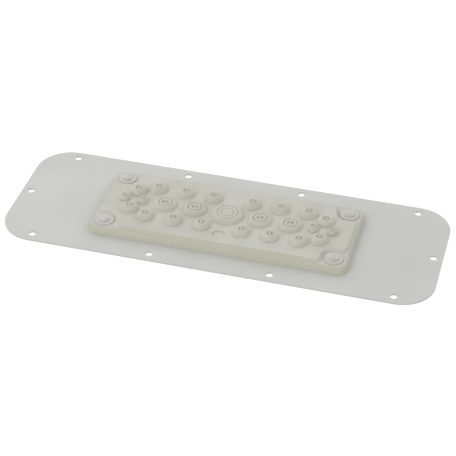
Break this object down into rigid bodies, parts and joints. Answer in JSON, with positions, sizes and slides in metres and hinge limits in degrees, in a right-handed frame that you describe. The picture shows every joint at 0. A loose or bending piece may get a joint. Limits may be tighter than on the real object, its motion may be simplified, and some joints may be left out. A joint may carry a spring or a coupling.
{
  "type": "cable entry plate",
  "caption": "Coated sheet carrier with large round corners and edge fixing holes, holding a riveted elastomer panel of closed, ring-marked cable membranes",
  "frame": {"origin": "middle of the sheet's inner face, the face that is laid on the cabinet, which is also the middle of the fixing holes", "axes": "+X along the sheet's length, +Y across it, +Z out of the cabinet towards the membranes"},
  "size_m": [0.396, 0.144, 0.0226],
  "materials": {
    "coated_sheet": "fine light grey powder coat",
    "foam_seal": "soft closed-cell foam bead",
    "elastomer": "matt moulded elastomer",
    "zinc_washer": "zinc plated",
    "rivet_alloy": "pressed, satin",
    "mandrel_steel": "broken pin end"
  },
  "bodies": {
    "root": {"carrier_plate": "coated_sheet", "edge_seal": "foam_seal", "membrane_panel": "elastomer", "washer_front_left": "zinc_washer", "washer_front_right": "zinc_washer", "washer_back_left": "zinc_washer", "washer_back_right": "zinc_washer", "rivet_front_left": "rivet_alloy", "rivet_front_right": "rivet_alloy", "rivet_back_left": "rivet_alloy", "rivet_back_right": "rivet_alloy", "mandrel_front_left": "mandrel_steel", "mandrel_front_right": "mandrel_steel", "mandrel_back_left": "mandrel_steel", "mandrel_back_right": "mandrel_steel"}
  },
  "joints": []
}
